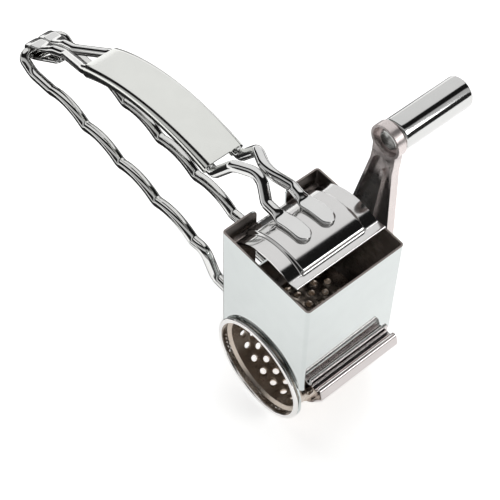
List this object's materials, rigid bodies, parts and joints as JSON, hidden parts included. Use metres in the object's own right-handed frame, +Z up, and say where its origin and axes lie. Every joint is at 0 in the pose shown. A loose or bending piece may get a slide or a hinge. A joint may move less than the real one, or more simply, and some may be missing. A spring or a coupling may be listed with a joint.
{
  "type": "rotary cheese grater",
  "caption": "Hand-held stainless rotary grater: square hopper over a turning perforated drum, wavy wire squeeze handle with thumb plate and press shoe, side crank with free-turning grip.",
  "frame": {"origin": "centre of the drum's open mouth, on the drum axis", "axes": "+Y along the drum axis from the mouth to the crank, +Z up towards the hopper's open top, +X away from the handles"},
  "size_m": [0.223, 0.1019, 0.1328],
  "materials": {
    "hopper_sheet": "mirror polished stainless sheet",
    "lip_sheet": "mirror polished stainless sheet",
    "handle_wire": "polished stainless wire",
    "lever_wire": "polished stainless wire",
    "thumb_sheet": "mirror polished stainless sheet",
    "shoe_sheet": "mirror polished stainless sheet",
    "drum_sheet": "polished stainless sheet, pierced",
    "drive_steel": "turned stainless steel",
    "arm_sheet": "pressed and polished stainless sheet",
    "grip_steel": "polished stainless tube",
    "bush_nylon": "plain moulded nylon"
  },
  "bodies": {
    "housing": {"hopper_shell": "hopper_sheet", "front_lip": "lip_sheet", "crank_side_bush": "bush_nylon", "lower_handle_wire": "handle_wire"},
    "press_lever": {"near_lever_wire": "lever_wire", "far_lever_wire": "lever_wire", "thumb_plate": "thumb_sheet", "press_shoe": "shoe_sheet"},
    "drum": {"drum_shell": "drum_sheet", "drum_end_disc": "drum_sheet", "drum_drive_boss": "drive_steel", "crank_arm": "arm_sheet", "crank_washer": "drive_steel", "crank_screw": "drive_steel", "grip_spindle": "drive_steel", "grip_washer": "drive_steel", "spindle_retainer": "drive_steel"},
    "grip": {"grip_sleeve": "grip_steel", "grip_bearing": "bush_nylon", "grip_end_cap": "grip_steel"}
  },
  "joints": [
    {"name": "lever_hinge", "type": "hinge", "parent": "housing", "child": "press_lever", "pos_m": [-0.1863, 0.027, 0.0268], "axis": [0, -1, 0], "range_deg": [-15.6, 110]},
    {"name": "crank_turn", "type": "hinge", "parent": "housing", "child": "drum", "pos_m": [0, 0.027, 0], "axis": [0, 1, 0], "continuous": true},
    {"name": "grip_spin", "type": "hinge", "parent": "drum", "child": "grip", "pos_m": [0, 0.08415, 0.1002], "axis": [0, 1, 0], "continuous": true}
  ]
}
